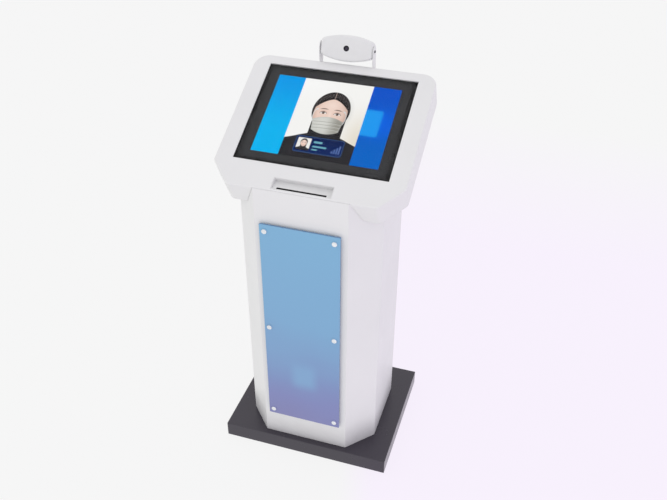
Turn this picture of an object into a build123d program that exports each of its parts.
"""Free-standing ticket kiosk: a dark ballasted plinth, an eight-sided steel pedestal with a rear
service door, a sloped head with a touch screen and a ticket mouth, and a tilting camera above it.
Millimetres, +Z up, the user stands at -Y, origin at the middle of the plinth's underside."""

import os
from math import atan2, cos, degrees, hypot, pi, radians, sin, tan

from build123d import *

os.makedirs("parts", exist_ok=True)

# ---- driving dimensions ----------------------------------------------------------------------
SHEET = 2.0  # cabinet sheet steel

BASE_W = 500.0
BASE_D = 400.0
BASE_H = 50.0
TRAY_SHEET = 3.0
MAT_T = 3.0
BALLAST_T = 12.0
ANCHOR_X = 160.0
ANCHOR_Y = 120.0
ANCHOR_R = 7.0
PILLAR_X = 150.0
PILLAR_Y = 90.0
PILLAR_R = 9.0

PEDESTAL_Y = -2.0  # the pedestal's middle, a little in front of the plinth's
PEDESTAL_HALF_W = 193.0
PEDESTAL_HALF_D = 179.5
FACE_HALF_W = 124.0  # front and rear faces, between the corner facets
SIDE_HALF_D = 102.5  # side faces, between the corner facets
FLANGE_W = 26.0
FRONT_Y = PEDESTAL_Y - PEDESTAL_HALF_D
REAR_Y = PEDESTAL_Y + PEDESTAL_HALF_D

SLOPE = 26.8  # the head's top face, degrees from level
SCREEN_Y = 28.0  # middle of the cover glass
SCREEN_Z = 1008.5
HEAD_HALF_W = 250.0
HEAD_REAR = 185.0  # up the slope from the middle of the glass
HEAD_T = 70.0
HEAD_FACET_HALF_W = 195.0
HEAD_FACET_S = -172.0
HEAD_REAR_R = 40.0
HEAD_FRONT_R = 20.0
TOP_PLATE = 2.5
EDGE_R = 4.0

GLASS_W = 404.7
GLASS_L = 312.2
GLASS_T = 4.0
GLASS_SINK = 0.3
GLASS_GAP = 0.5
GASKET_T = 0.5
LCD_W = 358.0
LCD_L = 276.0
LCD_T = 12.0

MOUTH_HALF_W = 78.0  # recess that the tickets come out of
MOUTH_TOP = -196.0
MOUTH_BOTTOM = -229.5
MOUTH_DEPTH = 12.0  # at its upper edge; the floor rises from there to its lower edge
MOUTH_FRONT_DEPTH = 2.2
SLOT_HALF_W = 63.5
SLOT_GAP = 5.6
CHUTE_WALL = 0.8
PAPER_S = -224.0  # the paper's path, straight up out of the printer
PAPER_W = 112.0

PANEL_W = 215.0
PANEL_Z0 = 139.4
PANEL_Z1 = 806.1
PANEL_T = 6.0
PANEL_GAP = 5.0
STANDOFF_INSET_X = 14.5
STANDOFF_INSET_Z = 19.0
STANDOFF_R = 7.0

DOOR_HALF_W = 100.0
DOOR_Z0 = 130.0
DOOR_Z1 = 790.0
DOOR_GAP = 2.0
DOOR_RETURN = 12.0
HINGE_H = 60.0
HINGE_Z = (200.0, 660.0)
KNUCKLE_R = 4.2
PIN_R = 2.0
LOCK_X = -80.0
LOCK_Z = 460.0
LOCK_BACK_Y = 163.0  # the cam turns just in front of this

FAN_SIZE = 80.0
FAN_T = 25.0
FAN_Z = 890.0
FAN_PITCH = 71.5

CAMERA_Z = 1130.0
CAMERA_Y = 205.0  # tilt axis
CAMERA_TILT = 20.0  # leans back, to look up at the user's face
CAMERA_FRONT_Y = 193.0
CAMERA_SPLIT_Y = 211.0
CAMERA_REAR_Y = 229.0
CAMERA_HALF_W = 71.0
CAMERA_HALF_H = 34.0
CAMERA_END_HALF_H = 20.0
ARM_X = 72.0
ARM_T = 2.0
ARM_R = 14.0
RUNNING = 0.05  # radial clearance of everything that turns

# ---- frames and small helpers ----------------------------------------------------------------
COS = cos(radians(SLOPE))
SIN = sin(radians(SLOPE))
screen = Plane(origin=(0, SCREEN_Y, SCREEN_Z), x_dir=(1, 0, 0), z_dir=(0, -SIN, COS))
HEAD_FRONT = (FRONT_Y - SCREEN_Y) / COS
FAR = 1400.0


def slope_s(y, depth):
    """Distance up the slope of the point that is depth under the head's face, at the world's y."""
    return (y - SCREEN_Y - depth * SIN) / COS


def on_slope(shape):
    """Moves a shape drawn in the head's frame: X, up the slope, out of the face."""
    return screen.location * shape


def block(x0, x1, y0, y1, z0, z1):
    return Pos((x0 + x1) / 2, (y0 + y1) / 2, (z0 + z1) / 2) * Box(x1 - x0, y1 - y0, z1 - z0)


def rod(radius, start, end):
    """A solid cylinder between two points."""
    path = Vector(*end) - Vector(*start)
    flat = Plane(origin=start, z_dir=path)
    return extrude(flat * Circle(radius), amount=path.length)


def tube(radius, bore, start, end):
    return rod(radius, start, end) - rod(bore, start, end)


def prism(points, z0, z1):
    face = make_face(Polyline(*points, close=True))
    return Pos(0, 0, z0) * extrude(face, amount=z1 - z0)


def side_prism(points, x0, x1):
    """A prism along X of an outline given as (y, z) points."""
    wires = Polyline(*[(x0, y, z) for y, z in points], close=True)
    return extrude(make_face(wires), amount=x1 - x0, dir=(1, 0, 0))


def union(shapes):
    shapes = list(shapes)
    whole = shapes[0]
    for shape in shapes[1:]:
        whole = whole + shape
    return whole


def group(shapes):
    return Compound(children=[s.solid() for s in shapes])


def mirrored(shape):
    return mirror(shape, about=Plane.YZ)


def save(name, shape):
    shape.label = name
    export_step(shape, f"parts/{name}.step")


# ---- plinth ----------------------------------------------------------------------------------
ANCHORS = [(x, y) for x in (-ANCHOR_X / 2, ANCHOR_X / 2) for y in (-ANCHOR_Y / 2, ANCHOR_Y / 2)]
PILLARS = [(x, y) for x in (-PILLAR_X, PILLAR_X) for y in (-PILLAR_Y, PILLAR_Y)]
TRAY_TOP = BASE_H - TRAY_SHEET
BALLAST_TOP = MAT_T + BALLAST_T


def base_mat():
    mat = Pos(0, 0, MAT_T / 2) * Box(BASE_W - 8, BASE_D - 8, MAT_T)
    holes = [rod(ANCHOR_R, (x, y, -1), (x, y, MAT_T + 1)) for x, y in ANCHORS]
    screws = [rod(8, (x, y, -1), (x, y, MAT_T + 1)) for x, y in PILLARS]
    return mat - union(holes + screws)


def ballast_plate():
    plate = block(-235, 235, -185, 185, MAT_T, BALLAST_TOP)
    plate = fillet(plate.edges().filter_by(Axis.Z), 8)
    holes = [rod(ANCHOR_R, (x, y, 0), (x, y, BASE_H)) for x, y in ANCHORS]
    for x, y in PILLARS:
        holes.append(rod(4.2, (x, y, 0), (x, y, BASE_H)))
        holes.append(rod(7.5, (x, y, 0), (x, y, MAT_T + 5)))
    return plate - union(holes)


def base_tray():
    """The plinth's cover, with tapped pillars welded inside that stand on the ballast plate."""
    outer = block(-BASE_W / 2, BASE_W / 2, -BASE_D / 2, BASE_D / 2, MAT_T, BASE_H)
    outer = fillet(outer.edges().filter_by(Axis.Z) + outer.faces().sort_by(Axis.Z)[-1].edges(), 1.5)
    x, y = BASE_W / 2 - TRAY_SHEET, BASE_D / 2 - TRAY_SHEET
    tray = outer - block(-x, x, -y, y, 0, TRAY_TOP)
    tray -= block(-105, 105, -85, 85, 0, FAR)
    hexagon = extrude(RegularPolygon(PILLAR_R, 6), amount=TRAY_TOP + 1 - BALLAST_TOP)
    tray += union(Pos(px, py, BALLAST_TOP) * hexagon for px, py in PILLARS)
    return tray - union(rod(4.0, (px, py, 0), (px, py, FAR)) for px, py in PILLARS)


def ballast_screws():
    shapes = []
    for x, y in PILLARS:
        head = rod(7.4, (x, y, MAT_T + 0.5), (x, y, MAT_T + 5))
        head -= Pos(x, y, MAT_T + 0.4) * extrude(RegularPolygon(2.8, 6), amount=2.6)
        shapes.append(head + rod(3.98, (x, y, MAT_T + 4), (x, y, BALLAST_TOP + 12)))
    return group(shapes)


def socket_screw(radius, shank, grip):
    """A socket-head screw with its head's underside at z = 0 and its shank pointing down."""
    head = extrude(Circle(radius), amount=radius)
    head = chamfer(head.faces().sort_by(Axis.Z)[-1].edges(), radius * 0.12)
    head -= Pos(0, 0, radius * 0.45) * extrude(RegularPolygon(radius * 0.5, 6), amount=radius)
    return head + Pos(0, 0, -grip) * extrude(Circle(shank), amount=grip)


def pedestal_bolts():
    return group(Pos(x, y, BASE_H + SHEET) * socket_screw(6.5, 3.98, 18) for x, y in PILLARS)


# ---- pedestal --------------------------------------------------------------------------------
RISER_Y = FRONT_Y + SHEET + HEAD_T * SIN + 3  # in front of this the walls run up to the head's face


def octagon(grow=0.0):
    """The pedestal's plan, grown outwards by a distance measured square to every face."""
    facet = atan2(PEDESTAL_HALF_D - SIDE_HALF_D, PEDESTAL_HALF_W - FACE_HALF_W)
    w, d = PEDESTAL_HALF_W + grow, PEDESTAL_HALF_D + grow
    a = FACE_HALF_W + grow * tan(facet / 2)
    b = SIDE_HALF_D + grow * tan((pi / 2 - facet) / 2)
    corners = [(a, -d), (w, -b), (w, b), (a, d), (-a, d), (-w, b), (-w, -b), (-a, -d)]
    return [(x, y + PEDESTAL_Y) for x, y in corners]


def above_depth(depth):
    """Everything outside the plane that lies depth under the head's face."""
    return on_slope(Pos(0, 0, FAR / 2 - depth) * Box(FAR, FAR, FAR))


def sloped_slab(depth0, depth1):
    return on_slope(block(-FAR, FAR, -FAR, FAR, -depth1, -depth0))


def head_bolt_places():
    y_side, y_rear = 60.0, REAR_Y - 15
    plan = [(x, y) for x in (-178, 178) for y in (-y_side, y_side)]
    plan += [(-70, y_rear), (70, y_rear)]
    return [(x, slope_s(y, HEAD_T)) for x, y in plan]


def standoff_places():
    x = PANEL_W / 2 - STANDOFF_INSET_X
    low, high = PANEL_Z0 + STANDOFF_INSET_Z, PANEL_Z1 - STANDOFF_INSET_Z
    return [(side * x, z) for side in (-1, 1) for z in (low, (low + high) / 2, high)]


def fan_holes():
    """A round patch of holes over the fan, in a triangular pattern."""
    pitch, reach, holes = 11.0, 35.0, []
    for row in range(-4, 5):
        for column in range(-4, 5):
            x = (column + (row % 2) / 2) * pitch
            z = row * pitch * sin(pi / 3)
            if hypot(x, z) <= reach:
                holes.append(rod(3.5, (x, REAR_Y - 5, FAN_Z + z), (x, REAR_Y + 5, FAN_Z + z)))
    return holes


def fan_screw_places():
    half = FAN_PITCH / 2
    return [(x, FAN_Z + z) for x in (-half, half) for z in (-half, half)]


LUG_PLACES = [(side, z) for side in (-1, 1) for z in (160.0, 640.0)]
LUG_SCREW_X = PEDESTAL_HALF_W - 14
PLATE_Y = -60.0  # front face of the equipment plate
PORT_Z = 92.0
INLET_X = -35.0
INLET_CUT = (INLET_X - 14, INLET_X + 14, PORT_Z - 10.5, PORT_Z + 10.5)
SWITCH_X = 40.0
SWITCH_CUT = (SWITCH_X - 10, SWITCH_X + 10, PORT_Z - 7, PORT_Z + 7)


def through_rear(x0, x1, z0, z1):
    """A block that cuts an x and z range out of the pedestal's rear wall."""
    return block(x0, x1, REAR_Y - 9, REAR_Y + 9, z0, z1)


def lock_keeper():
    """The angle welded behind the door frame that the lock's cam turns behind."""
    y1 = REAR_Y - SHEET / 2
    foot = block(-124, -102, REAR_Y - SHEET - 2, y1, LOCK_Z - 20, LOCK_Z + 20)
    return foot + block(-110, -102, LOCK_BACK_Y + 0.2, y1, LOCK_Z - 20, LOCK_Z + 20)


def pedestal_shell():
    wall = prism(octagon(), BASE_H, FAR) - prism(octagon(-SHEET), BASE_H, FAR)
    riser = wall & block(-FAR, FAR, -FAR, RISER_Y, BASE_H, FAR)
    shell = (wall - above_depth(HEAD_T)) + (riser - above_depth(TOP_PLATE + 0.1))
    ring = prism(octagon(-SHEET / 2), BASE_H, FAR) - prism(octagon(-FLANGE_W), 0, FAR)
    shell += ring & block(-FAR, FAR, -FAR, FAR, BASE_H, BASE_H + SHEET)
    top_ring = ring & sloped_slab(HEAD_T, HEAD_T + SHEET)
    shell += top_ring - block(-FAR, FAR, -FAR, RISER_Y, 0, FAR)
    for x, y in PILLARS:
        shell += block(x - 14, x + 14, y - 14, y + 14, BASE_H, BASE_H + SHEET)
    for side, z in LUG_PLACES:
        x = side * (PEDESTAL_HALF_W - SHEET / 2 - 12)
        shell += block(x - 12, x + 12, PLATE_Y - 3, PLATE_Y, z - 12, z + 12)
    shell += lock_keeper()
    cuts = [rod(4.2, (x, y, 0), (x, y, BASE_H + 9)) for x, y in PILLARS]
    cuts.append(through_rear(-DOOR_HALF_W, DOOR_HALF_W, DOOR_Z0, DOOR_Z1))
    cuts += [through_rear(*INLET_CUT), through_rear(*SWITCH_CUT)]
    for x, s in head_bolt_places():
        cuts.append(on_slope(rod(3.3, (x, s, -HEAD_T - 9), (x, s, -HEAD_T + 9))))
    for x, z in standoff_places():
        cuts.append(rod(3.2, (x, FRONT_Y - 9, z), (x, FRONT_Y + 9, z)))
    cuts += fan_holes()
    for x, z in fan_screw_places():
        cuts.append(rod(2.2, (x, REAR_Y - 9, z), (x, REAR_Y + 9, z)))
    for side, z in LUG_PLACES:
        x = side * LUG_SCREW_X
        cuts.append(rod(2.6, (x, PLATE_Y - 9, z), (x, PLATE_Y + 9, z)))
    return shell - union(cuts)


def head_bolts():
    shapes = []
    for x, s in head_bolt_places():
        head = extrude(RegularPolygon(5.5, 6), amount=4)
        bolt = Pos(x, s, -HEAD_T - SHEET - 4) * head
        bolt += rod(3.0, (x, s, -HEAD_T - SHEET - 1), (x, s, -HEAD_T + 7))
        shapes.append(on_slope(bolt))
    return group(shapes)


# ---- printed acrylic panel on the pedestal's front ---------------------------------------------
PANEL_Y1 = FRONT_Y - PANEL_GAP
PANEL_Y0 = PANEL_Y1 - PANEL_T


def sign_panel():
    panel = block(-PANEL_W / 2, PANEL_W / 2, PANEL_Y0, PANEL_Y1, PANEL_Z0, PANEL_Z1)
    panel = fillet(panel.edges().filter_by(Axis.Y), 2)
    panel = chamfer(panel.faces().filter_by(Axis.Y).edges(), 0.6)
    holes = [rod(3.2, (x, PANEL_Y0 - 1, z), (x, PANEL_Y1 + 1, z)) for x, z in standoff_places()]
    return panel - union(holes)


def standoff_barrels():
    """Spacers with a stud that goes through the pedestal's front wall."""
    shapes = []
    for x, z in standoff_places():
        barrel = rod(STANDOFF_R, (x, FRONT_Y, z), (x, PANEL_Y1, z))
        barrel = barrel - rod(2.5, (x, PANEL_Y1 - 1, z), (x, FRONT_Y - 1, z))
        shapes.append(barrel + rod(3.0, (x, FRONT_Y - 1, z), (x, FRONT_Y + 10, z)))
    return group(shapes)


def standoff_caps():
    shapes = []
    for x, z in standoff_places():
        cap = rod(STANDOFF_R, (x, PANEL_Y0, z), (x, PANEL_Y0 - 4, z))
        cap = fillet(cap.faces().sort_by(Axis.Y)[0].edges(), 1.2)
        shapes.append(cap + rod(2.45, (x, PANEL_Y0 - 1, z), (x, FRONT_Y - 1.5, z)))
    return group(shapes)


# ---- rear door, its hinges and lock ------------------------------------------------------------
HINGE_X = DOOR_HALF_W - DOOR_GAP / 2
HINGE_Y = REAR_Y + KNUCKLE_R + 0.3
LEAF_T = 1.5
LEAF_REACH = 22.0
KNUCKLE_H = 18.0
KNUCKLE_PLAY = 0.3


def vent_slots(z0):
    """A block of six level slots, rounded at their ends."""
    shapes = []
    for i in range(6):
        z = z0 + 16 * i
        shapes.append(block(-55, 55, REAR_Y - 9, REAR_Y + 9, z - 3, z + 3))
        shapes += [rod(3, (x, REAR_Y - 9, z), (x, REAR_Y + 9, z)) for x in (-55, 55)]
    return shapes


def rear_door():
    w, z0, z1 = DOOR_HALF_W - DOOR_GAP, DOOR_Z0 + DOOR_GAP, DOOR_Z1 - DOOR_GAP
    pan = block(-w, w, REAR_Y - SHEET - DOOR_RETURN, REAR_Y, z0, z1)
    inside = block(-w + SHEET, w - SHEET, 0, REAR_Y - SHEET, z0 + SHEET, z1 - SHEET)
    door = pan - inside
    lock_hole = rod(9.5, (LOCK_X, REAR_Y - 9, LOCK_Z), (LOCK_X, REAR_Y + 9, LOCK_Z))
    return door - union([lock_hole] + vent_slots(DOOR_Z0 + 60) + vent_slots(DOOR_Z1 - 140))


def hinge_frame_leaves():
    """The leaf on the pedestal, with the outer two knuckles."""
    shapes = []
    for z in HINGE_Z:
        x0 = HINGE_X + KNUCKLE_R + 0.5
        leaf = block(x0, HINGE_X + LEAF_REACH, REAR_Y, REAR_Y + LEAF_T, z, z + HINGE_H)
        for k0 in (z, z + HINGE_H - KNUCKLE_H):
            k1 = k0 + KNUCKLE_H
            leaf += block(HINGE_X, x0 + 1, REAR_Y, REAR_Y + LEAF_T, k0, k1)
            leaf += rod(KNUCKLE_R, (HINGE_X, HINGE_Y, k0), (HINGE_X, HINGE_Y, k1))
        bore = rod(PIN_R, (HINGE_X, HINGE_Y, z - 1), (HINGE_X, HINGE_Y, z + HINGE_H + 1))
        shapes.append(leaf - bore)
    return group(shapes)


def hinge_door_leaves():
    """The leaf on the door, with the middle knuckle."""
    shapes = []
    for z in HINGE_Z:
        x0 = HINGE_X - KNUCKLE_R - 0.5
        leaf = block(HINGE_X - LEAF_REACH, x0, REAR_Y, REAR_Y + LEAF_T, z, z + HINGE_H)
        k0 = z + KNUCKLE_H + KNUCKLE_PLAY
        k1 = z + HINGE_H - KNUCKLE_H - KNUCKLE_PLAY
        leaf += block(x0 - 1, HINGE_X, REAR_Y, REAR_Y + LEAF_T, k0, k1)
        leaf += rod(KNUCKLE_R, (HINGE_X, HINGE_Y, k0), (HINGE_X, HINGE_Y, k1))
        bore = rod(PIN_R + RUNNING, (HINGE_X, HINGE_Y, z), (HINGE_X, HINGE_Y, z + HINGE_H))
        shapes.append(leaf - bore)
    return group(shapes)


def hinge_pins():
    shapes = []
    for z in HINGE_Z:
        pin = rod(PIN_R, (HINGE_X, HINGE_Y, z - 1.5), (HINGE_X, HINGE_Y, z + HINGE_H))
        head = rod(3.4, (HINGE_X, HINGE_Y, z + HINGE_H), (HINGE_X, HINGE_Y, z + HINGE_H + 2))
        shapes.append(pin + fillet(head.edges().sort_by(Axis.Z)[-1], 0.8))
    return group(shapes)


CORE_R = 6.0
CAM_T = 2.5
CAM_REACH = 38.0


def lock_body():
    body = rod(9.4, (LOCK_X, LOCK_BACK_Y, LOCK_Z), (LOCK_X, REAR_Y + 1, LOCK_Z))
    flange = rod(12, (LOCK_X, REAR_Y, LOCK_Z), (LOCK_X, REAR_Y + 3, LOCK_Z))
    body += fillet(flange.faces().sort_by(Axis.Y)[-1].edges(), 1.2)
    return body - rod(CORE_R + RUNNING, (LOCK_X, 100, LOCK_Z), (LOCK_X, 300, LOCK_Z))


def lock_core():
    """The keyed plug. Its square tail carries the cam."""
    core = rod(CORE_R, (LOCK_X, LOCK_BACK_Y + 0.2, LOCK_Z), (LOCK_X, REAR_Y + 2.6, LOCK_Z))
    tail = block(LOCK_X - 3, LOCK_X + 3, 157, LOCK_BACK_Y + 1, LOCK_Z - 3, LOCK_Z + 3)
    key_way = block(LOCK_X - 0.9, LOCK_X + 0.9, REAR_Y - 12, REAR_Y + 5, LOCK_Z - 3.6, LOCK_Z + 3.6)
    return core + tail - key_way


def lock_cam():
    y0, y1 = LOCK_BACK_Y - 0.3 - CAM_T, LOCK_BACK_Y - 0.3
    arm = block(LOCK_X - CAM_REACH, LOCK_X, y0, y1, LOCK_Z - 7, LOCK_Z + 7)
    arm = fillet(arm.edges().filter_by(Axis.Y).sort_by(Axis.X)[:2], 4)
    cam = arm + rod(10, (LOCK_X, y0, LOCK_Z), (LOCK_X, y1, LOCK_Z))
    return cam - block(LOCK_X - 3.02, LOCK_X + 3.02, 100, 200, LOCK_Z - 3.02, LOCK_Z + 3.02)


# ---- head --------------------------------------------------------------------------------------
def head_outline(shrink=0.0):
    """The head seen square to its face: rounded at the rear, with a facet at each front corner."""
    w, front, rear = HEAD_HALF_W - shrink, HEAD_FRONT + shrink, HEAD_REAR - shrink
    turn = atan2(HEAD_FACET_S - HEAD_FRONT, HEAD_HALF_W - HEAD_FACET_HALF_W)
    fx = HEAD_FACET_HALF_W - shrink * tan(turn / 2)
    fs = HEAD_FACET_S + shrink * tan((pi / 2 - turn) / 2)
    points = [(fx, front), (w, fs), (w, rear), (-w, rear), (-w, fs), (-fx, front)]
    face = make_face(Polyline(*points, close=True))
    face = fillet(face.vertices().group_by(Axis.Y)[-1], HEAD_REAR_R - shrink)
    front_corners = [v for v in face.vertices() if v.Y < HEAD_FACET_S + 5]
    return fillet(front_corners, HEAD_FRONT_R - shrink)


def plan_cut(grow, y_max):
    """The pedestal's plan as a tall prism in the world's frame, cut off behind y_max."""
    return prism(octagon(grow), 0, FAR) & block(-FAR, FAR, -FAR, y_max, 0, FAR)


TAB_PLACES = [(side * (HEAD_HALF_W - 14), s) for side in (-1, 1) for s in (-120.0, 120.0)]
BRACKET_SCREWS = [(x, -13.0) for x in (-50.0, 0.0, 50.0)]
LEDGE_W = GLASS_W + 36
LEDGE_L = GLASS_L + 30


def head_shell():
    """Top plate and sides, with a ledge that carries the glass. Drawn on the slope."""
    outer = Pos(0, 0, -HEAD_T) * extrude(head_outline(), amount=HEAD_T)
    outer = fillet(outer.faces().sort_by(Axis.Z)[-1].edges(), EDGE_R)
    inner = Pos(0, 0, -HEAD_T) * extrude(head_outline(SHEET), amount=HEAD_T - TOP_PLATE)
    shell = outer - fillet(inner.faces().sort_by(Axis.Z)[-1].edges(), EDGE_R - SHEET)
    ledge_top = -GLASS_SINK - GLASS_T - GASKET_T
    ledge = block(-LEDGE_W / 2, LEDGE_W / 2, -LEDGE_L / 2, LEDGE_L / 2, ledge_top - 2, -TOP_PLATE + 0.5)
    shell += ledge
    w, length = GLASS_W / 2 + GLASS_GAP, GLASS_L / 2 + GLASS_GAP
    shell -= block(-w, w, -length, length, ledge_top, 9)
    w, length = LCD_W / 2 + 2, LCD_L / 2 + 2
    shell -= block(-w, w, -length, length, -HEAD_T, 9)
    shell -= block(-MOUTH_HALF_W, MOUTH_HALF_W, MOUTH_BOTTOM, MOUTH_TOP, -30, 9)
    for x, s in TAB_PLACES:
        x0, x1 = (x - 11, HEAD_HALF_W - 1) if x > 0 else (1 - HEAD_HALF_W, x + 11)
        tab = block(x0, x1, s - 14, s + 14, -HEAD_T + SHEET, -HEAD_T + 2 * SHEET)
        shell = shell + tab - rod(2.2, (x, s, -HEAD_T - 9), (x, s, -HEAD_T + 9))
    for x, z in BRACKET_SCREWS:
        shell -= rod(2.2, (x, HEAD_REAR - 9, z), (x, HEAD_REAR + 9, z))
    shell = on_slope(shell)
    return shell - (plan_cut(0.3, RISER_Y + 0.3) - above_depth(TOP_PLATE))


def head_floor():
    plate = Pos(0, 0, -HEAD_T) * extrude(head_outline(SHEET + 0.2), amount=SHEET)
    for x, s in head_bolt_places():
        plate += rod(6, (x, s, -HEAD_T + 1), (x, s, -HEAD_T + 6))
        plate -= rod(3.0, (x, s, -HEAD_T - 1), (x, s, -HEAD_T + 9))
    for x, s in TAB_PLACES:
        plate -= rod(2.2, (x, s, -HEAD_T - 9), (x, s, -HEAD_T + 9))
    plate = on_slope(plate)
    return plate - plan_cut(0.3, RISER_Y + 0.3) - prism(octagon(-FLANGE_W - 4), 0, FAR)


def head_floor_screws():
    shapes = []
    for x, s in TAB_PLACES:
        screw = Pos(x, s, -HEAD_T) * (Rot(180, 0, 0) * socket_screw(3.6, 2.15, 7))
        shapes.append(on_slope(screw))
    return group(shapes)


def touch_glass():
    top = -GLASS_SINK
    glass = block(-GLASS_W / 2, GLASS_W / 2, -GLASS_L / 2, GLASS_L / 2, top - GLASS_T, top)
    glass = fillet(glass.edges().filter_by(Axis.Z), 2.5)
    return on_slope(chamfer(glass.faces().sort_by(Axis.Z)[-1].edges(), 0.4))


def glass_gasket():
    top = -GLASS_SINK - GLASS_T
    w, length = GLASS_W / 2, GLASS_L / 2
    ring = block(-w, w, -length, length, top - GASKET_T, top)
    return on_slope(ring - block(-w + 12, w - 12, -length + 10, length - 10, -30, 9))


LCD_TOP = -GLASS_SINK - GLASS_T - 0.3


def display_panel():
    """The screen module: a shallow pan with a raised box for its driver board."""
    w, length = LCD_W / 2, LCD_L / 2
    panel = block(-w, w, -length, length, LCD_TOP - LCD_T, LCD_TOP)
    panel = chamfer(panel.edges().filter_by(Axis.Z), 2)
    return on_slope(panel + block(-110, 110, -70, 70, LCD_TOP - LCD_T - 14, LCD_TOP - LCD_T + 1))


def display_rails():
    """Two hat-shaped rails that press the screen module up against the glass."""
    shapes = []
    for side in (-1, 1):
        s = side * 105
        z = LCD_TOP - LCD_T
        rail = block(-190, 190, s - 12, s + 12, z - SHEET, z)
        for end in (-1, 1):
            x0, x1 = sorted((end * 188, end * 190))
            foot_z = -GLASS_SINK - GLASS_T - GASKET_T - 2
            rail += block(x0, x1, s - 12, s + 12, z - SHEET, foot_z)
            x0, x1 = sorted((end * 188, end * 212))
            rail += block(x0, x1, s - 12, s + 12, foot_z - SHEET, foot_z)
        shapes.append(on_slope(rail))
    return group(shapes)


# ---- ticket mouth and printer --------------------------------------------------------------------
BEZEL_WALL = 1.6
BEZEL_FLOOR = 2.0
CHUTE_END = -28.0


def slot_block(grow, z0, z1):
    """A block round the ticket slot, in the head's frame."""
    w, gap = SLOT_HALF_W + grow, SLOT_GAP / 2 + grow
    return block(-w, w, PAPER_S - gap, PAPER_S + gap, z0, z1)


def below_floor(drop):
    """Everything lower than drop under the recess's sloping floor, in the head's frame."""
    rise = (MOUTH_DEPTH - MOUTH_FRONT_DEPTH) / (MOUTH_TOP - MOUTH_BOTTOM)
    spare = 20.0
    low_z = -MOUTH_FRONT_DEPTH + spare * rise - drop
    top_z = -MOUTH_DEPTH - spare * rise - drop
    low, top = MOUTH_BOTTOM - spare, MOUTH_TOP + spare
    return side_prism([(low, -FAR), (low, low_z), (top, top_z), (top, -FAR)], -FAR, FAR)


def ticket_bezel():
    """The wedge-shaped tub under the head's face, with a hole in its floor for the chute."""
    w, top, low = MOUTH_HALF_W - 0.15, MOUTH_TOP - 0.15, MOUTH_BOTTOM + 0.15
    tub = block(-w, w, low, top, -MOUTH_DEPTH - 4, -0.2)
    tub = fillet(tub.edges().filter_by(Axis.Z), 1.5) - below_floor(BEZEL_FLOOR)
    t = BEZEL_WALL
    hollow = block(-w + t, w - t, low + t, top - t, -MOUTH_DEPTH - 4, 9)
    tub -= fillet(hollow.edges().filter_by(Axis.Z), 1.5) - below_floor(0)
    for side in (-1, 1):
        x0, x1 = sorted((side * (w - 0.5), side * (w + 8)))
        tub += block(x0, x1, low, top, -TOP_PLATE - 2.2, -TOP_PLATE - 0.2)
    tub += block(-w - 8, w + 8, top - 0.5, top + 6, -TOP_PLATE - 2.2, -TOP_PLATE - 0.2)
    return on_slope(tub - slot_block(CHUTE_WALL + 0.1, CHUTE_END, 9))


def ticket_chute():
    """The black liner that leads the paper up through the tub's floor, flanged under it."""
    liner = slot_block(CHUTE_WALL, CHUTE_END, 0) & below_floor(0)
    flange = slot_block(2.5, CHUTE_END, 0) & below_floor(BEZEL_FLOOR)
    flange -= below_floor(BEZEL_FLOOR + 2)
    return on_slope(liner + flange - slot_block(0, CHUTE_END - 1, 9))


CHASSIS_HALF_W = 70.0
CHASSIS_FRONT = PAPER_S - 17
CHASSIS_REAR = PAPER_S + 69
CHASSIS_FLOOR = -105.0
CHASSIS_TOP = -29.0
PLATEN_R = 8.0
PLATEN_S = PAPER_S + PLATEN_R
PLATEN_Z = -48.0
SHAFT_R = 2.5
GEAR_MODULE = 1.0
PLATEN_TEETH = 30
PINION_TEETH = 14
GEAR_X0 = 72.0
GEAR_X1 = 77.0
PINION_ANGLE = -60.0  # direction from the platen to the motor, in the head's frame
GEAR_CENTRES = GEAR_MODULE * (PLATEN_TEETH + PINION_TEETH) / 2
MOTOR_S = PLATEN_S + GEAR_CENTRES * cos(radians(PINION_ANGLE))
MOTOR_Z = PLATEN_Z + GEAR_CENTRES * sin(radians(PINION_ANGLE))
MOTOR_R = 12.5
MOTOR_SHAFT_R = 1.5
HEAD_PIVOT_S = PAPER_S - 8
HEAD_PIVOT_Z = -76.0
BLADE_Z = -33.3
BLADE_T = 1.5
BLADE_HALF_W = 65.0


def gear(teeth, turn, x0, x1, bore):
    """A spur gear along X, with a tooth at the angle turn. The flanks are straight and slack."""
    pitch_r = GEAR_MODULE * teeth / 2
    step = 2 * pi / teeth
    root, tip = pitch_r - 1.2 * GEAR_MODULE, pitch_r + 0.8 * GEAR_MODULE
    outline = []
    for i in range(teeth):
        middle = radians(turn) + i * step
        for radius, share in ((root, -0.26), (tip, -0.11), (tip, 0.11), (root, 0.26)):
            angle = middle + share * step
            outline.append((radius * cos(angle), radius * sin(angle)))
    wheel = side_prism(outline, x0, x1)
    return wheel - rod(bore, (x0 - 1, 0, 0), (x1 + 1, 0, 0))


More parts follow.
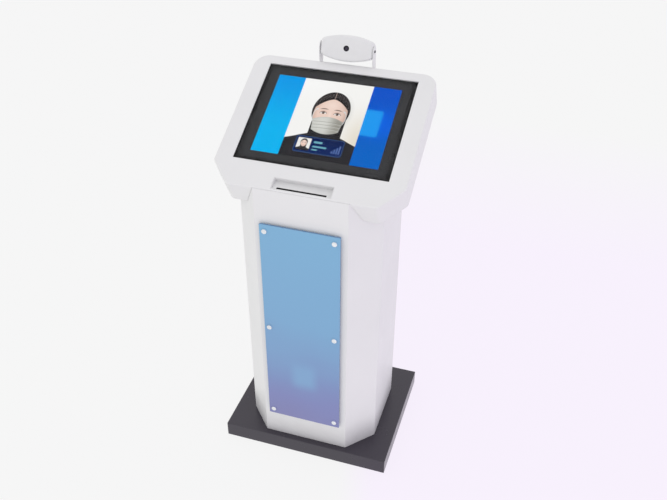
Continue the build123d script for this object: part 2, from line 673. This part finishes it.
def printer_chassis():
    w, inner = CHASSIS_HALF_W, CHASSIS_HALF_W - SHEET
    floor = block(-w, w, CHASSIS_FRONT, CHASSIS_REAR, CHASSIS_FLOOR - SHEET, CHASSIS_FLOOR)
    floor -= block(-60, 60, PAPER_S - 5, PAPER_S + 5, -FAR, 0)
    plate = block(inner, w, CHASSIS_FRONT, CHASSIS_REAR, CHASSIS_FLOOR - 1, CHASSIS_TOP)
    plate = fillet(plate.edges().filter_by(Axis.X).sort_by(Axis.Z)[-1], 6)
    plate -= rod(SHAFT_R + RUNNING, (0, PLATEN_S, PLATEN_Z), (w + 9, PLATEN_S, PLATEN_Z))
    plate -= rod(2.0 + RUNNING, (0, HEAD_PIVOT_S, HEAD_PIVOT_Z), (w + 9, HEAD_PIVOT_S, HEAD_PIVOT_Z))
    right = plate - rod(4.5, (0, MOTOR_S, MOTOR_Z), (w + 9, MOTOR_S, MOTOR_Z))
    rail = block(62.5, inner + 0.5, PAPER_S + 5, PAPER_S + 32, BLADE_Z - 2.5, CHASSIS_TOP)
    rail -= block(0, BLADE_HALF_W + 0.3, -FAR, FAR, BLADE_Z - 0.2, BLADE_Z + BLADE_T + 0.2)
    stay = rod(3.0, (-inner - 1, CHASSIS_REAR - 8, -60), (inner + 1, CHASSIS_REAR - 8, -60))
    return on_slope(floor + right + mirrored(plate) + rail + mirrored(rail) + stay)


def platen_roller():
    start, end = (-57, PLATEN_S, PLATEN_Z), (57, PLATEN_S, PLATEN_Z)
    return on_slope(tube(PLATEN_R - 0.2, SHAFT_R, start, end))


def platen_shaft():
    shaft = rod(SHAFT_R, (-74, PLATEN_S, PLATEN_Z), (80, PLATEN_S, PLATEN_Z))
    return on_slope(shaft)


def platen_gear():
    wheel = gear(PLATEN_TEETH, PINION_ANGLE + 180 / PLATEN_TEETH, GEAR_X0, GEAR_X1, SHAFT_R)
    return on_slope(Pos(0, PLATEN_S, PLATEN_Z) * wheel)


def feed_motor():
    start, end = (36, MOTOR_S, MOTOR_Z), (CHASSIS_HALF_W - SHEET, MOTOR_S, MOTOR_Z)
    body = rod(MOTOR_R, start, end)
    body += block(end[0] - 1.5, end[0], MOTOR_S - 6, MOTOR_S + 6, MOTOR_Z - 18, MOTOR_Z + 13)
    body -= rod(MOTOR_SHAFT_R + RUNNING, (44, MOTOR_S, MOTOR_Z), (90, MOTOR_S, MOTOR_Z))
    return on_slope(body)


def motor_pinion():
    wheel = gear(PINION_TEETH, PINION_ANGLE + 180, GEAR_X0, GEAR_X1, 1.0)
    shaft = rod(MOTOR_SHAFT_R, (45, 0, 0), (GEAR_X1, 0, 0))
    return on_slope(Pos(0, MOTOR_S, MOTOR_Z) * (wheel + shaft))


def print_head():
    """The heated bar and its carrier, which swings away from the platen to load paper."""
    top, low = PLATEN_Z + 9, HEAD_PIVOT_Z
    face = PAPER_S - 0.4
    bar = block(-58, 58, face - 5, face, PLATEN_Z - 9, top)
    bar = chamfer(bar.edges().filter_by(Axis.X).sort_by(Axis.Y)[-2:], 1)
    carrier = block(-62, 62, face - 8, face - 5, low - 4, top)
    pivot = rod(3.5, (-62, HEAD_PIVOT_S, HEAD_PIVOT_Z), (62, HEAD_PIVOT_S, HEAD_PIVOT_Z))
    ends = rod(2.0, (-72, HEAD_PIVOT_S, HEAD_PIVOT_Z), (72, HEAD_PIVOT_S, HEAD_PIVOT_Z))
    return on_slope(bar + carrier + pivot + ends)


def head_lever():
    """The lever outside the chassis that lifts the print head."""
    s0, s1 = HEAD_PIVOT_S - 5, HEAD_PIVOT_S + 5
    lever = block(-75, -72.2, s0, s1, HEAD_PIVOT_Z - 5, HEAD_PIVOT_Z + 34)
    lever += block(-92, -72.2, s0, s1, HEAD_PIVOT_Z + 31, HEAD_PIVOT_Z + 37)
    lever = fillet(lever.edges().filter_by(Axis.Z), 1)
    boss = rod(4.5, (-75, HEAD_PIVOT_S, HEAD_PIVOT_Z), (-70.6, HEAD_PIVOT_S, HEAD_PIVOT_Z))
    hole = rod(2.0, (-72, HEAD_PIVOT_S, HEAD_PIVOT_Z), (-60, HEAD_PIVOT_S, HEAD_PIVOT_Z))
    return on_slope(lever + boss - hole)


def cutter_fixed_blade():
    blade = block(-67.9, 67.9, CHASSIS_FRONT + 1, PAPER_S - 1, BLADE_Z - 2.3, BLADE_Z - 0.3)
    edge = blade.edges().filter_by(Axis.X).group_by(Axis.Y)[-1].sort_by(Axis.Z)[0]
    return on_slope(chamfer(edge, 1.2))


def cutter_moving_blade():
    """The blade that slides across the paper, over the fixed one, with a shallow V edge."""
    rear, w = PAPER_S + 24, BLADE_HALF_W
    tip, heel = PAPER_S + 1.2, PAPER_S + 3.2
    outline = [(-w, tip), (0, heel), (w, tip), (w, rear), (-w, rear)]
    return on_slope(prism(outline, BLADE_Z, BLADE_Z + BLADE_T))


def cutter_motor():
    """The small gear motor behind the platen, with its output boss under the blade."""
    top = BLADE_Z - 1.2
    box = block(-20, 20, CHASSIS_REAR - 34, CHASSIS_REAR - 11.4, top - 26, top)
    box = chamfer(box.edges().filter_by(Axis.Z), 2)
    return on_slope(box + rod(3.5, (0, PAPER_S + 40, top - 1), (0, PAPER_S + 40, top + 0.8)))


ROLL_Y = -112.0
ROLL_Z = 742.0
ROLL_R = 45.0
SPINDLE_R = 12.0
BRACKET_X = 76.0
DECK_DEPTH = -CHASSIS_FLOOR + SHEET


def paper_roll():
    half = PAPER_W / 2
    return tube(ROLL_R, 14.5, (-half, ROLL_Y, ROLL_Z), (half, ROLL_Y, ROLL_Z))


def roll_core():
    half = PAPER_W / 2
    return tube(14.5, SPINDLE_R + RUNNING, (-half, ROLL_Y, ROLL_Z), (half, ROLL_Y, ROLL_Z))


def roll_spindle():
    """The fixed axle of the roll, with a collar each side of it."""
    spindle = rod(SPINDLE_R, (-BRACKET_X, ROLL_Y, ROLL_Z), (BRACKET_X, ROLL_Y, ROLL_Z))
    for side in (-1, 1):
        x = side * (PAPER_W / 2 + 3)
        spindle += rod(17, (x - 1.5, ROLL_Y, ROLL_Z), (x + 1.5, ROLL_Y, ROLL_Z))
    return spindle + rod(5, (-BRACKET_X - 3, ROLL_Y, ROLL_Z), (BRACKET_X + 3, ROLL_Y, ROLL_Z))


def printer_bracket():
    """Cheeks, flanges and a sloped deck that hang the printer and its roll on the plate."""
    rise = SIN / COS
    rear, front = PLATE_Y - SHEET, -160.0

    def deck_z(y):
        return SCREEN_Z + (y - SCREEN_Y) * rise - (DECK_DEPTH + SHEET) / COS

    low = ROLL_Z - 55
    outline = [(rear, low), (front + 30, low), (front, low + 30)]
    outline += [(front, deck_z(front)), (rear, deck_z(rear))]
    cheek = side_prism(outline, BRACKET_X, BRACKET_X + SHEET)
    cheek -= rod(5, (0, ROLL_Y, ROLL_Z), (FAR, ROLL_Y, ROLL_Z))
    flange = block(BRACKET_X, BRACKET_X + 20, PLATE_Y - SHEET, PLATE_Y, low, deck_z(rear) - 4)
    deck = on_slope(block(-BRACKET_X - 1, BRACKET_X + 1, -FAR, FAR, -DECK_DEPTH - SHEET, -DECK_DEPTH))
    deck = deck & block(-FAR, FAR, front, rear, 0, FAR)
    deck -= on_slope(block(-60, 60, PAPER_S - 6, PAPER_S + 6, -FAR, 0))
    half = cheek + flange
    return half + mirrored(half) + deck


# ---- electronics on the equipment plate ------------------------------------------------------------
PLATE_Z0 = 130.0
PLATE_Z1 = 836.0


def equipment_plate():
    """The plate the electronics hang on, with a window to change the paper roll through."""
    x = PEDESTAL_HALF_W - SHEET - 2
    plate = block(-x, x, PLATE_Y, PLATE_Y + SHEET, PLATE_Z0, PLATE_Z1)
    for side in (-1, 1):
        x0, x1 = sorted((side * x, side * (x - SHEET)))
        plate += block(x0, x1, PLATE_Y, PLATE_Y + 18, PLATE_Z0, PLATE_Z1)
    for cx in (-140, 140):
        plate -= rod(18, (cx, PLATE_Y - 9, 420), (cx, PLATE_Y + 9, 420))
    plate -= block(-72, 72, PLATE_Y - 9, PLATE_Y + 9, ROLL_Z - 47, ROLL_Z + 84)
    holes = []
    for side, z in LUG_PLACES:
        x = side * LUG_SCREW_X
        holes.append(rod(2.6, (x, PLATE_Y - 9, z), (x, PLATE_Y + 9, z)))
    return plate - union(holes)


def equipment_screws():
    shapes = []
    for side, z in LUG_PLACES:
        screw = Rot(-90, 0, 0) * socket_screw(4.2, 2.5, 8)
        shapes.append(Pos(side * LUG_SCREW_X, PLATE_Y + SHEET, z) * screw)
    return group(shapes)


def computer_box():
    """A fanless computer: a die-cast box with a finned back."""
    y0, y1 = PLATE_Y + SHEET, PLATE_Y + SHEET + 42
    box = block(-95, 95, y0, y1, 480, 630)
    box = fillet(box.edges().filter_by(Axis.Y), 5)
    fins = [block(x - 1.5, x + 1.5, y1 - 1, y1 + 14, 486, 624) for x in range(-84, 85, 12)]
    ports = [block(x - 7, x + 7, y0 + 12, y0 + 22, 479, 488) for x in (-60, -35, -10, 15, 45, 70)]
    return union([box] + fins) - union(ports)


def power_supply():
    """An enclosed supply with a vented cover and a row of terminals."""
    y0 = PLATE_Y + SHEET
    case = block(-50, 50, y0, y0 + 40, 250, 400)
    case = chamfer(case.edges().filter_by(Axis.Z).sort_by(Axis.Y)[-2:], 3)
    case -= block(-45, 45, y0 + 14, y0 + 41, 249, 268)
    terminals = [block(x - 4, x + 4, y0 + 13, y0 + 24, 252, 268.5) for x in range(-36, 37, 12)]
    slots = [block(-36, 36, y0 + 36, y0 + 44, z - 1.6, z + 1.6) for z in range(292, 390, 9)]
    return union([case] + terminals) - union(slots)


def fan_frame():
    """Square frame with a round duct, three struts and the stator that the rotor turns on."""
    half, y0, y1 = FAN_SIZE / 2, REAR_Y - SHEET - FAN_T, REAR_Y - SHEET
    frame = block(-half, half, y0, y1, FAN_Z - half, FAN_Z + half)
    frame = fillet(frame.edges().filter_by(Axis.Y), 4)
    frame -= rod(38, (0, y0 - 1, FAN_Z), (0, y1 + 1, FAN_Z))
    for angle in (90, 210, 330):
        strut = Pos(20, 0, 0) * Box(40, 3, 4)
        frame += Pos(0, y0 + 1.5, FAN_Z) * (Rot(0, angle, 0) * strut)
    frame += rod(15, (0, y0, FAN_Z), (0, y0 + 3, FAN_Z))
    frame += rod(2.5, (0, y0, FAN_Z), (0, y0 + 17, FAN_Z))
    for x, z in fan_screw_places():
        frame -= rod(2.0, (x, y0 - 1, z), (x, y1 + 1, z))
    return frame


def fan_rotor():
    y0, y1 = REAR_Y - SHEET - FAN_T + 4, REAR_Y - SHEET - 2.5
    rotor = rod(15, (0, y0, FAN_Z), (0, y1, FAN_Z))
    rotor = fillet(rotor.faces().sort_by(Axis.Y)[-1].edges(), 2)
    for i in range(7):
        blade = Pos(25, 0, 0) * (Rot(38, 0, 0) * Box(22, 2, 20))
        rotor += Pos(0, (y0 + y1) / 2, FAN_Z) * (Rot(0, 360 * i / 7, 0) * blade)
    rotor = rotor & rod(36.6, (0, y0, FAN_Z), (0, y1, FAN_Z))
    return rotor - rod(2.5 + RUNNING, (0, y0 - 1, FAN_Z), (0, y0 + 14, FAN_Z))


def fan_screws():
    shapes = []
    for x, z in fan_screw_places():
        shapes.append(Pos(x, REAR_Y, z) * (Rot(-90, 0, 0) * socket_screw(3.8, 1.98, 22)))
    return group(shapes)


ROCKER_Y = REAR_Y - 2.0
ROCKER_TILT = 6.0


def power_inlet():
    """A mains inlet: ears, a socket with three blades, and two spade terminals inside."""
    ears = block(INLET_X - 25, INLET_X + 25, REAR_Y, REAR_Y + 2.5, PORT_Z - 13, PORT_Z + 13)
    ears = fillet(ears.edges().filter_by(Axis.Y), 6)
    body = block(INLET_X - 13.7, INLET_X + 13.7, REAR_Y - 24, REAR_Y + 1, PORT_Z - 10.2, PORT_Z + 10.2)
    socket = block(INLET_X - 12, INLET_X + 12, REAR_Y - 14, REAR_Y + 9, PORT_Z - 8, PORT_Z + 8)
    socket = chamfer(socket.edges().filter_by(Axis.Y).sort_by(Axis.Z)[-2:], 4)
    inlet = ears + body - socket
    for x, z in ((-7, -1), (0, 3), (7, -1)):
        cx, cz = INLET_X + x, PORT_Z + z
        inlet += block(cx - 1, cx + 1, REAR_Y - 32, REAR_Y - 3.5, cz - 2, cz + 2)
    for x in (INLET_X - 20, INLET_X + 20):
        inlet -= rod(1.7, (x, REAR_Y - 1, PORT_Z), (x, REAR_Y + 4, PORT_Z))
    return inlet


def switch_housing():
    x, z = SWITCH_X, PORT_Z
    rim = block(x - 12, x + 12, REAR_Y, REAR_Y + 2, z - 9, z + 9)
    rim = fillet(rim.edges().filter_by(Axis.Y), 1.5)
    body = block(x - 9.8, x + 9.8, REAR_Y - 18, REAR_Y + 1, z - 6.8, z + 6.8)
    well = block(x - 8.8, x + 8.8, REAR_Y - 13, REAR_Y + 9, z - 5.8, z + 5.8)
    pin = rod(1.2, (x, ROCKER_Y, z - 6.2), (x, ROCKER_Y, z + 6.2))
    return rim + body - well + pin


def switch_rocker():
    """A shallow V of a key that rocks on the pin across its housing."""
    x, z = SWITCH_X, PORT_Z
    outline = [(-8, -2), (8, -2), (8, 2.5), (0, 3.6), (-8, 2.5)]
    key = extrude(make_face(Polyline(*outline, close=True)), amount=5.5, both=True)
    key -= extrude(Circle(1.2 + RUNNING), amount=9, both=True)
    return Pos(x, ROCKER_Y, z) * (Rot(0, 0, ROCKER_TILT) * key)


# ---- camera ------------------------------------------------------------------------------------
def tilted(shape):
    """Leans a piece of the level camera back about its tilt axis."""
    axis = Location((0, CAMERA_Y, CAMERA_Z))
    return axis * Rot(-CAMERA_TILT, 0, 0) * axis.inverse() * shape


def camera_outline(shrink=0.0):
    """The camera's front view: crowned top and bottom with rounded ends, in the XZ plane."""
    w, h, end = CAMERA_HALF_W - shrink, CAMERA_HALF_H - shrink, CAMERA_END_HALF_H - shrink
    upper = ThreePointArc((-w, end), (0, h), (w, end))
    lower = ThreePointArc((w, -end), (0, -h), (-w, -end))
    sides = [Line((w, end), (w, -end)), Line((-w, -end), (-w, end))]
    face = make_face([upper, sides[0], lower, sides[1]])
    return fillet(face.vertices(), 13 - shrink)


def camera_slice(shrink, y0, y1):
    """The camera's outline as a slab from y0 to y1."""
    flat = Plane(origin=(0, y1, CAMERA_Z), x_dir=(1, 0, 0), z_dir=(0, -1, 0))
    return extrude(flat * camera_outline(shrink), amount=y1 - y0)


def pivot_bosses(radius, x0, x1):
    right = rod(radius, (x0, CAMERA_Y, CAMERA_Z), (x1, CAMERA_Y, CAMERA_Z))
    return [right, mirrored(right)]


def camera_front_shell():
    shell = camera_slice(0, CAMERA_FRONT_Y, CAMERA_SPLIT_Y)
    shell = fillet(shell.faces().sort_by(Axis.Y)[0].edges(), 5)
    shell -= camera_slice(2.2, CAMERA_FRONT_Y + 2.2, CAMERA_SPLIT_Y + 1)
    shell += union(pivot_bosses(5, 62, CAMERA_HALF_W - 1))
    shell -= union(pivot_bosses(2 + RUNNING, 60, CAMERA_HALF_W + 2))
    return tilted(shell - rod(7.6, (0, CAMERA_FRONT_Y - 9, CAMERA_Z), (0, CAMERA_SPLIT_Y, CAMERA_Z)))


def camera_screw_places():
    return [(x, CAMERA_Z + z) for x in (-48, 48) for z in (-15, 15)]


def camera_rear_shell():
    shell = camera_slice(0, CAMERA_SPLIT_Y + 0.4, CAMERA_REAR_Y)
    shell = fillet(shell.faces().sort_by(Axis.Y)[-1].edges(), 8)
    shell -= camera_slice(2.2, CAMERA_SPLIT_Y, CAMERA_REAR_Y - 2.2)
    for x, z in camera_screw_places():
        shell += rod(4, (x, CAMERA_SPLIT_Y + 0.4, z), (x, CAMERA_REAR_Y - 1.5, z))
        shell -= rod(1.6, (x, CAMERA_SPLIT_Y, z), (x, CAMERA_REAR_Y + 1, z))
        shell -= rod(2.9, (x, CAMERA_REAR_Y - 3, z), (x, CAMERA_REAR_Y + 1, z))
    y0, y1 = CAMERA_REAR_Y - 4, CAMERA_REAR_Y + 1
    slots = [block(x - 1, x + 1, y0, y1, CAMERA_Z - 12, CAMERA_Z + 12) for x in range(-24, 25, 6)]
    return tilted(shell - union(slots))


def camera_shell_screws():
    shapes = []
    for x, z in camera_screw_places():
        screw = Rot(-90, 0, 0) * socket_screw(2.6, 1.5, 14)
        shapes.append(tilted(Pos(x, CAMERA_REAR_Y - 3, z) * screw))
    return group(shapes)


def lens_barrel():
    start, end = (0, CAMERA_FRONT_Y - 0.8, CAMERA_Z), (0, CAMERA_SPLIT_Y + 0.2, CAMERA_Z)
    barrel = rod(7.5, start, end)
    barrel = chamfer(barrel.faces().sort_by(Axis.Y)[0].edges(), 0.5)
    return tilted(barrel - rod(5.6, (0, 180, CAMERA_Z), (0, CAMERA_FRONT_Y + 5, CAMERA_Z)))


def lens_glass():
    """A shallow dome set in the barrel."""
    disc = rod(5.5, (0, CAMERA_FRONT_Y + 1.0, CAMERA_Z), (0, CAMERA_FRONT_Y + 4.9, CAMERA_Z))
    dome = Pos(0, CAMERA_FRONT_Y + 10, CAMERA_Z) * Sphere(10)
    return tilted(disc & dome)


def camera_board():
    board = block(-45, 45, CAMERA_SPLIT_Y + 0.6, CAMERA_SPLIT_Y + 2.2, CAMERA_Z - 22, CAMERA_Z + 22)
    sites = [rod(4.3, (x, 200, z), (x, 230, z)) for x, z in camera_screw_places()]
    chip = block(-12, 12, CAMERA_SPLIT_Y + 2, CAMERA_SPLIT_Y + 4.5, CAMERA_Z - 10, CAMERA_Z + 10)
    return tilted(board - union(sites) + chip)


def pivot_screws():
    """Dark screws through the bracket's arms that the camera tilts on."""
    start, end = (63, CAMERA_Y, CAMERA_Z), (ARM_X + ARM_T + 1, CAMERA_Y, CAMERA_Z)
    head = rod(3.4, (ARM_X + ARM_T, CAMERA_Y, CAMERA_Z), (ARM_X + ARM_T + 2, CAMERA_Y, CAMERA_Z))
    head = fillet(head.faces().sort_by(Axis.X)[-1].edges(), 0.8)
    screw = head + rod(2.0, start, end)
    hex_plane = Plane(origin=(ARM_X + ARM_T + 0.8, CAMERA_Y, CAMERA_Z), z_dir=(1, 0, 0))
    screw -= extrude(hex_plane * RegularPolygon(1.7, 6), amount=5)
    return group([screw, mirrored(screw)])


def camera_bracket():
    """A bent U of sheet: a strip on the head's rear wall and an arm up each side of the camera."""
    strip_low, strip_top = -22.0, -4.0
    half = ARM_X + ARM_T
    strip = on_slope(block(-half, half, HEAD_REAR, HEAD_REAR + 2, strip_low, strip_top))
    for x, z in BRACKET_SCREWS:
        strip -= on_slope(rod(2.2, (x, HEAD_REAR - 9, z), (x, HEAD_REAR + 9, z)))

    def rear_wall(z):
        return SCREEN_Y + HEAD_REAR * COS - z * SIN, SCREEN_Z + HEAD_REAR * SIN + z * COS

    front, rear = CAMERA_Y - ARM_R, CAMERA_Y + ARM_R
    low, high = rear_wall(strip_low), rear_wall(strip_top)
    corner = rear_wall(0)
    outline = [low, high, (corner[0] + 1.2, corner[1] + 1.5), (front, corner[1] + 6),
               (front, CAMERA_Z), (rear, CAMERA_Z), (rear, low[1] + 9), (low[0] + 4, low[1])]
    arm = side_prism(outline, ARM_X, ARM_X + ARM_T)
    arm += rod(ARM_R, (ARM_X, CAMERA_Y, CAMERA_Z), (ARM_X + ARM_T, CAMERA_Y, CAMERA_Z))
    arm -= rod(2.0, (ARM_X - 9, CAMERA_Y, CAMERA_Z), (ARM_X + 9, CAMERA_Y, CAMERA_Z))
    return strip + arm + mirrored(arm)


def bracket_screws():
    shapes = []
    for x, z in BRACKET_SCREWS:
        screw = Pos(x, HEAD_REAR + 2, z) * (Rot(-90, 0, 0) * socket_screw(3.6, 2.15, 9))
        shapes.append(on_slope(screw))
    return group(shapes)


NODES = [
    base_mat, ballast_plate, base_tray, ballast_screws, pedestal_bolts,
    pedestal_shell, head_bolts, sign_panel, standoff_barrels, standoff_caps,
    rear_door, hinge_frame_leaves, hinge_door_leaves, hinge_pins,
    lock_body, lock_core, lock_cam,
    head_shell, head_floor, head_floor_screws,
    touch_glass, glass_gasket, display_panel, display_rails,
    ticket_bezel, ticket_chute, printer_chassis,
    platen_roller, platen_shaft, platen_gear, feed_motor, motor_pinion,
    print_head, head_lever, cutter_fixed_blade, cutter_moving_blade, cutter_motor,
    paper_roll, roll_core, roll_spindle, printer_bracket,
    equipment_plate, equipment_screws, computer_box, power_supply,
    fan_frame, fan_rotor, fan_screws, power_inlet, switch_housing, switch_rocker,
    camera_bracket, bracket_screws, camera_front_shell, camera_rear_shell, camera_shell_screws,
    lens_barrel, lens_glass, camera_board, pivot_screws,
]

for make in NODES:
    save(make.__name__, make())

# Where the moving pieces turn, for the record.
AXES = [
    ("platen", PLATEN_S, PLATEN_Z),
    ("motor", MOTOR_S, MOTOR_Z),
    ("print head", HEAD_PIVOT_S, HEAD_PIVOT_Z),
]
for label, s, z in AXES:
    place = screen.from_local_coords((0, s, z))
    print(label, "axis at y, z =", round(place.Y, 3), round(place.Z, 3))
print("slope direction", round(COS, 5), round(SIN, 5), "angle", round(degrees(atan2(SIN, COS)), 2))
